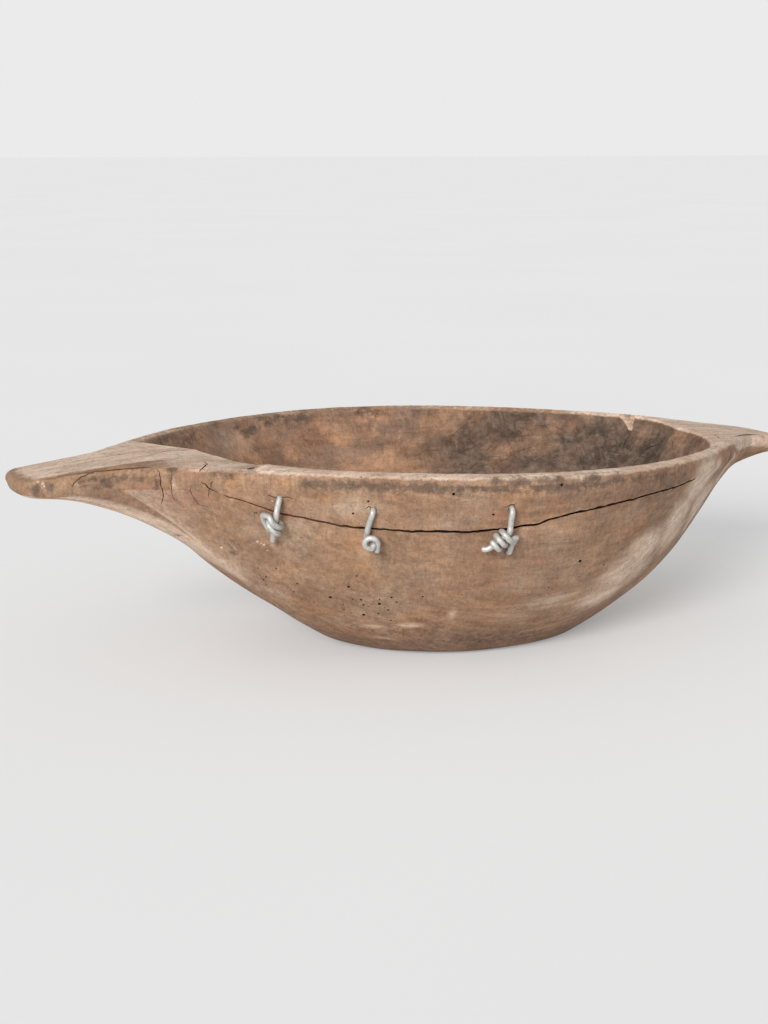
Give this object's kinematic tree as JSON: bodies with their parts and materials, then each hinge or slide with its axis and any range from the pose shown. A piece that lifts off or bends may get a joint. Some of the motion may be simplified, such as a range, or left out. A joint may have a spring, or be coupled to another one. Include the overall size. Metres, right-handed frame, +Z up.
{
  "type": "carved wooden dough bowl",
  "caption": "Long oval dough bowl carved from one piece of wood, with a solid handle at each end and a cracked wall held together by wire stitches.",
  "frame": {"origin": "middle of the overall length and width, on the surface that the bowl stands on", "axes": "+X along the handles towards the shorter handle, +Y away from the cracked and stitched wall, +Z up"},
  "size_m": [0.65, 0.358, 0.1524],
  "materials": {
    "aged_wood": "dry, worn bare wood",
    "dull_wire": "dull, slightly pitted"
  },
  "bodies": {
    "root": {"bowl": "aged_wood", "stitch_left": "dull_wire", "stitch_middle": "dull_wire", "stitch_right": "dull_wire"}
  },
  "joints": []
}
